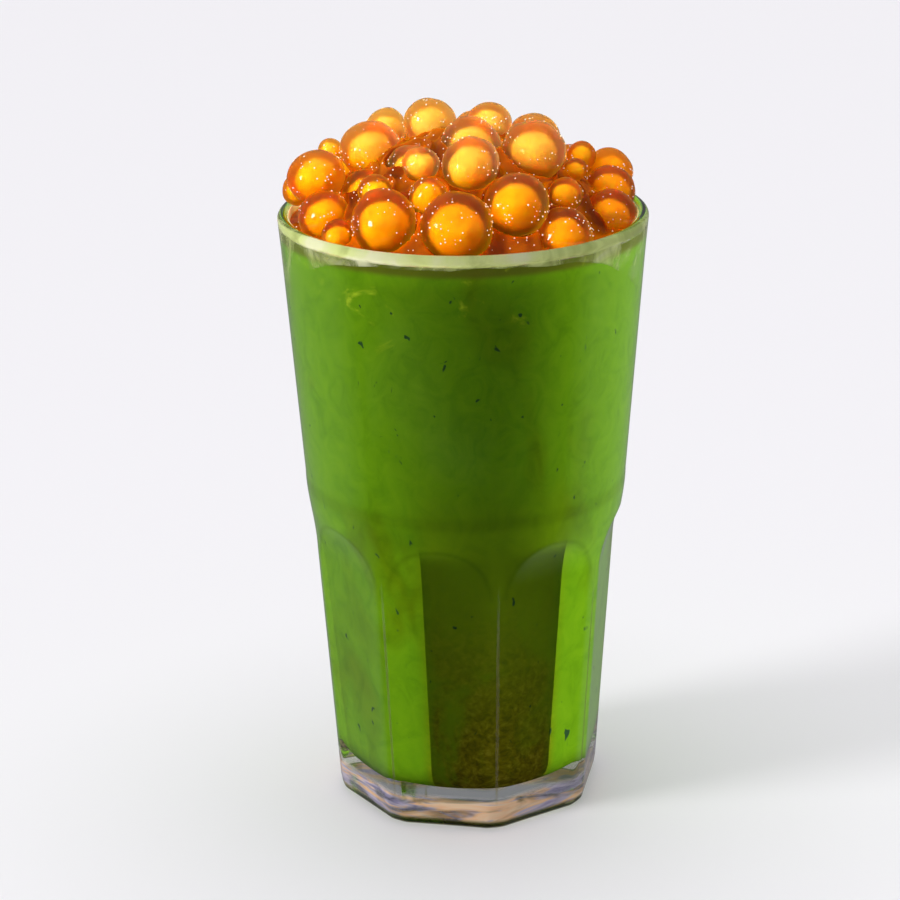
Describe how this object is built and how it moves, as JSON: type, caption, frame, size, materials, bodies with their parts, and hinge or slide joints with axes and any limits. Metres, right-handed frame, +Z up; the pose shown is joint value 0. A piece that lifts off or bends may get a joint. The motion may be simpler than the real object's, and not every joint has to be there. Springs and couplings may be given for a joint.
{
  "type": "matcha latte",
  "caption": "Matcha latte in a tall panelled tumbler, filled to just under the rim and heaped with glossy amber tapioca pearls in syrup.",
  "frame": {"origin": "centre of the base, on the plane that the glass stands on", "axes": "+Z up along the glass's axis, -Y towards the front, +X to the right as seen from the front"},
  "size_m": [0.088, 0.088, 0.1726],
  "materials": {
    "clear_glass": "clear, polished, faintly green",
    "matcha": "opaque green liquid, matcha whisked into milk",
    "amber_pearls": "wet, glossy, translucent amber"
  },
  "bodies": {
    "root": {"glass": "clear_glass", "drink": "matcha", "pearls": "amber_pearls"}
  },
  "joints": []
}
